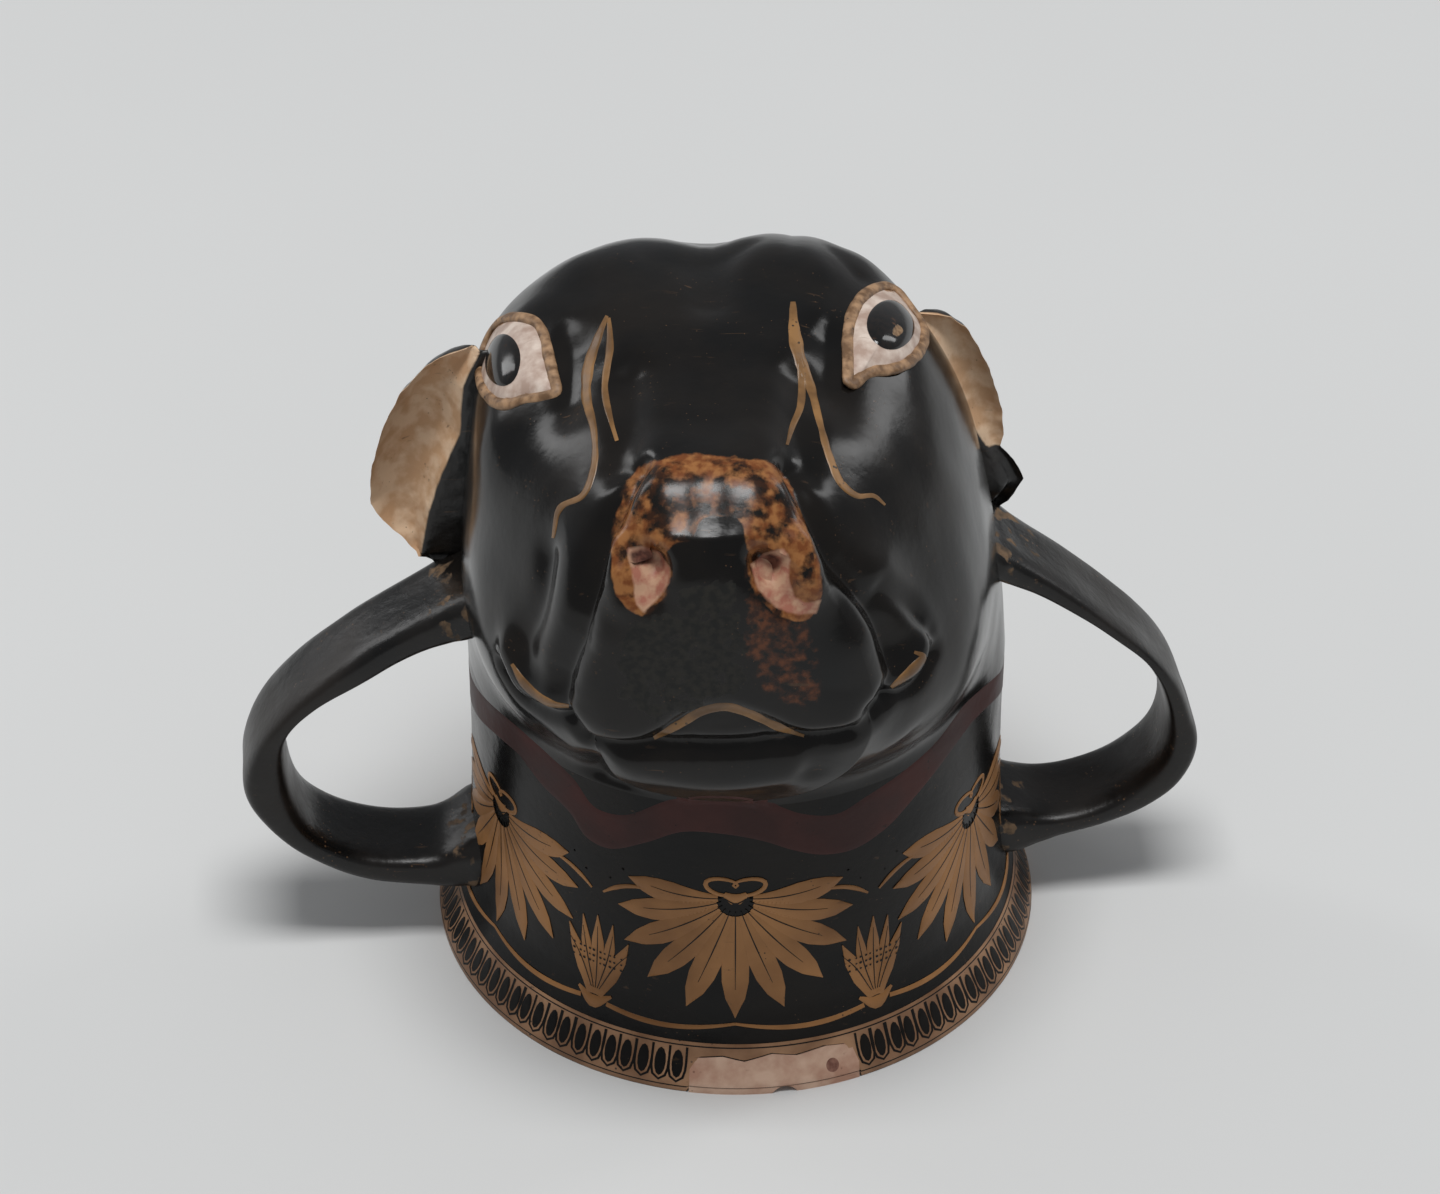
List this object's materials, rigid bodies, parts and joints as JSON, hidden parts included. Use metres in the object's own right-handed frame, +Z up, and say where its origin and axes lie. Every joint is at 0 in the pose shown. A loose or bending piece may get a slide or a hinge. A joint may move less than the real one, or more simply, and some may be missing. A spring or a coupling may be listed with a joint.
{
  "type": "animal-head drinking cup",
  "caption": "Two-handled clay drinking cup in the form of a calf's head, standing on the rim of its cylindrical bowl.",
  "frame": {"origin": "centre of the rim's circle, in the plane on which the cup stands", "axes": "+Z up from the rim to the crown, the muzzle looks along -Y, the handles lie along +X and -X"},
  "size_m": [0.2222, 0.1497, 0.1681],
  "materials": {
    "fired_clay_slip": "glossy black slip",
    "bare_clay": "matt fired clay",
    "repair_plaster": "matt tinted fill"
  },
  "bodies": {
    "root": {"bowl": "fired_clay_slip", "head_left": "fired_clay_slip", "head_right": "fired_clay_slip", "ear_left": "fired_clay_slip", "ear_right": "fired_clay_slip", "handle_left": "fired_clay_slip", "handle_right": "fired_clay_slip", "eyeball_left": "fired_clay_slip", "eyeball_right": "fired_clay_slip", "eyelid_left": "bare_clay", "eyelid_right": "bare_clay", "rim_fill": "repair_plaster", "rim_plug": "repair_plaster"}
  },
  "joints": []
}
